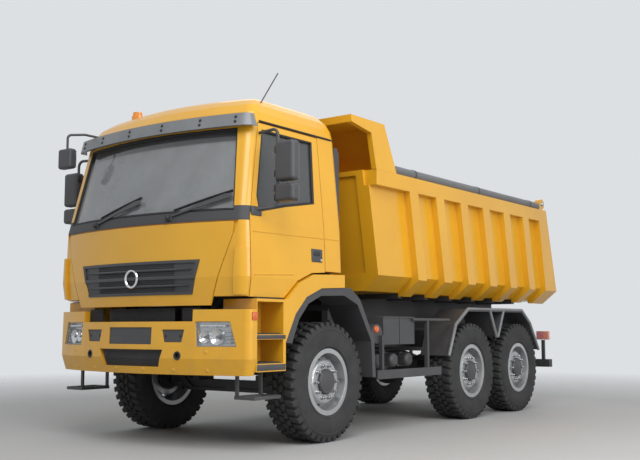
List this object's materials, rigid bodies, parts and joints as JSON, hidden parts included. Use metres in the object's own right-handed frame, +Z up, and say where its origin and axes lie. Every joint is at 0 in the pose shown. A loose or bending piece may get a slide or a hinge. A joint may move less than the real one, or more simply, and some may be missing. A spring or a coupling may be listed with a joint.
{
  "type": "dump truck",
  "caption": "Dump truck with a tilting cab, steered front wheels, doors, front flap, ribbed steel bed that tips on a telescopic hoist, and a top-hung tailgate.",
  "frame": {"origin": "on the ground at the middle of the truck's length and width", "axes": "+X to the front of the truck, +Y to its left, +Z up"},
  "size_m": [6.8014, 3.09, 3.4436],
  "materials": {
    "tyre": "dull rubber",
    "rim": "silver paint",
    "chassis": "satin black paint",
    "engine": "rough",
    "tank": "dull",
    "body": "gloss yellow paint",
    "plastic": "matt",
    "grille": "matt",
    "visor": "tinted",
    "glass": "clear",
    "lamp": "clear lens",
    "beacon": "tinted",
    "seat": "woven",
    "steel": "ground",
    "sheet": "coated cloth"
  },
  "bodies": {
    "chassis": {"frame": "chassis", "engine": "engine", "radiator": "engine", "front_axle": "chassis", "leaf_springs": "chassis", "rear_axles": "chassis", "bumper": "body", "bumper_inserts": "grille", "lamps": "lamp", "step_wells": "body", "mudguards": "plastic", "side_guards": "chassis", "battery_and_air_tanks": "plastic", "fuel_tank": "tank"},
    "knuckle_left": {"knuckle_left": "chassis"},
    "knuckle_right": {"knuckle_right": "chassis"},
    "tie_rod": {"tie_rod": "chassis"},
    "cab": {"cab_front": "body", "cab_back": "body", "cab_roof": "body", "cab_floor": "plastic", "windscreen": "glass", "sun_visor": "visor", "beacon": "beacon", "cab_fittings": "plastic", "dashboard": "plastic", "seats": "seat"},
    "door_left": {"door_left": "body", "door_glass_left": "glass", "mirrors_left": "plastic"},
    "door_right": {"door_right": "body", "door_glass_right": "glass", "mirrors_right": "plastic"},
    "hood": {"hood_flap": "body", "grille": "grille"},
    "bed": {"bed_sides": "body", "bed_front": "body", "bed_canopy": "body", "bed_floor": "body", "sheet_roll": "sheet"},
    "tailgate": {"tailgate": "body"},
    "hoist_barrels": {"hoist_barrels": "chassis"},
    "hoist_stage_1": {"hoist_stage_1": "steel"},
    "hoist_stage_2": {"hoist_stage_2": "steel"},
    "hoist_stage_3": {"hoist_stage_3": "steel"},
    "wheel_front_left": {"tyre_front_left": "tyre", "wheel_front_left": "rim"},
    "wheel_front_right": {"tyre_front_right": "tyre", "wheel_front_right": "rim"},
    "wheel_middle_left": {"tyre_middle_left": "tyre", "wheel_middle_left": "rim"},
    "wheel_middle_right": {"tyre_middle_right": "tyre", "wheel_middle_right": "rim"},
    "wheel_rear_left": {"tyre_rear_left": "tyre", "wheel_rear_left": "rim"},
    "wheel_rear_right": {"tyre_rear_right": "tyre", "wheel_rear_right": "rim"}
  },
  "joints": [
    {"name": "steer_left", "type": "hinge", "parent": "chassis", "child": "knuckle_left", "pos_m": [1.9825, 0.85, 0.561], "axis": [0, 0, 1], "range_deg": [-35, 35]},
    {"name": "steer_right", "type": "hinge", "parent": "chassis", "child": "knuckle_right", "pos_m": [1.9825, -0.85, 0.561], "axis": [0, 0, 1], "range_deg": [-35, 35]},
    {"name": "tie_rod_pivot", "type": "hinge", "parent": "knuckle_left", "child": "tie_rod", "pos_m": [1.8125, 0.85, 0.423], "axis": [0, 0, 1], "range_deg": [-35, 35]},
    {"name": "spin_front_left", "type": "hinge", "parent": "knuckle_left", "child": "wheel_front_left", "pos_m": [1.9825, 1.03, 0.561], "axis": [0, 1, 0], "continuous": true},
    {"name": "spin_front_right", "type": "hinge", "parent": "knuckle_right", "child": "wheel_front_right", "pos_m": [1.9825, -1.03, 0.561], "axis": [0, 1, 0], "continuous": true},
    {"name": "spin_middle_left", "type": "hinge", "parent": "chassis", "child": "wheel_middle_left", "pos_m": [-0.8975, 1.03, 0.561], "axis": [0, 1, 0], "continuous": true},
    {"name": "spin_middle_right", "type": "hinge", "parent": "chassis", "child": "wheel_middle_right", "pos_m": [-0.8975, -1.03, 0.561], "axis": [0, 1, 0], "continuous": true},
    {"name": "spin_rear_left", "type": "hinge", "parent": "chassis", "child": "wheel_rear_left", "pos_m": [-2.1775, 1.03, 0.561], "axis": [0, 1, 0], "continuous": true},
    {"name": "spin_rear_right", "type": "hinge", "parent": "chassis", "child": "wheel_rear_right", "pos_m": [-2.1775, -1.03, 0.561], "axis": [0, 1, 0], "continuous": true},
    {"name": "cab_tilt", "type": "hinge", "parent": "chassis", "child": "cab", "pos_m": [3.1325, 0, 0.8], "axis": [0, 1, 0], "range_deg": [0, 50]},
    {"name": "door_left", "type": "hinge", "parent": "cab", "child": "door_left", "pos_m": [3.1205, 1.222, 1.5], "axis": [0, 0, -1], "range_deg": [0, 70]},
    {"name": "door_right", "type": "hinge", "parent": "cab", "child": "door_right", "pos_m": [3.1205, -1.222, 1.5], "axis": [0, 0, 1], "range_deg": [0, 70]},
    {"name": "hood", "type": "hinge", "parent": "cab", "child": "hood", "pos_m": [3.3875, 0, 1.977], "axis": [0, -1, 0], "range_deg": [0, 70]},
    {"name": "bed_tip", "type": "hinge", "parent": "chassis", "child": "bed", "pos_m": [-2.8675, 0, 1.215], "axis": [0, -1, 0], "range_deg": [0, 46]},
    {"name": "tailgate", "type": "hinge", "parent": "bed", "child": "tailgate", "pos_m": [-3.0725, 0, 2.79], "axis": [0, 1, 0], "range_deg": [0, 65]},
    {"name": "hoist_tilt", "type": "hinge", "parent": "chassis", "child": "hoist_barrels", "pos_m": [-0.4175, 0, 0.93], "axis": [0, -1, 0], "range_deg": [0, 22.5]},
    {"name": "hoist_slide_1", "type": "slide", "parent": "hoist_barrels", "child": "hoist_stage_1", "axis": [0, 0, 1], "range_m": [0, 0.64]},
    {"name": "hoist_slide_2", "type": "slide", "parent": "hoist_stage_1", "child": "hoist_stage_2", "axis": [0, 0, 1], "range_m": [0, 0.64]},
    {"name": "hoist_slide_3", "type": "slide", "parent": "hoist_stage_2", "child": "hoist_stage_3", "axis": [0, 0, 1], "range_m": [0, 0.64]}
  ],
  "couplings": [
    {"joint": "steer_right", "follows": "steer_left", "ratio": 1},
    {"joint": "tie_rod_pivot", "follows": "steer_left", "ratio": -1},
    {"joint": "hoist_tilt", "follows": "bed_tip", "ratio": 0.4791},
    {"joint": "hoist_slide_1", "follows": "bed_tip", "m_per_rad": 0.7796},
    {"joint": "hoist_slide_2", "follows": "bed_tip", "m_per_rad": 0.7796},
    {"joint": "hoist_slide_3", "follows": "bed_tip", "m_per_rad": 0.7796}
  ]
}
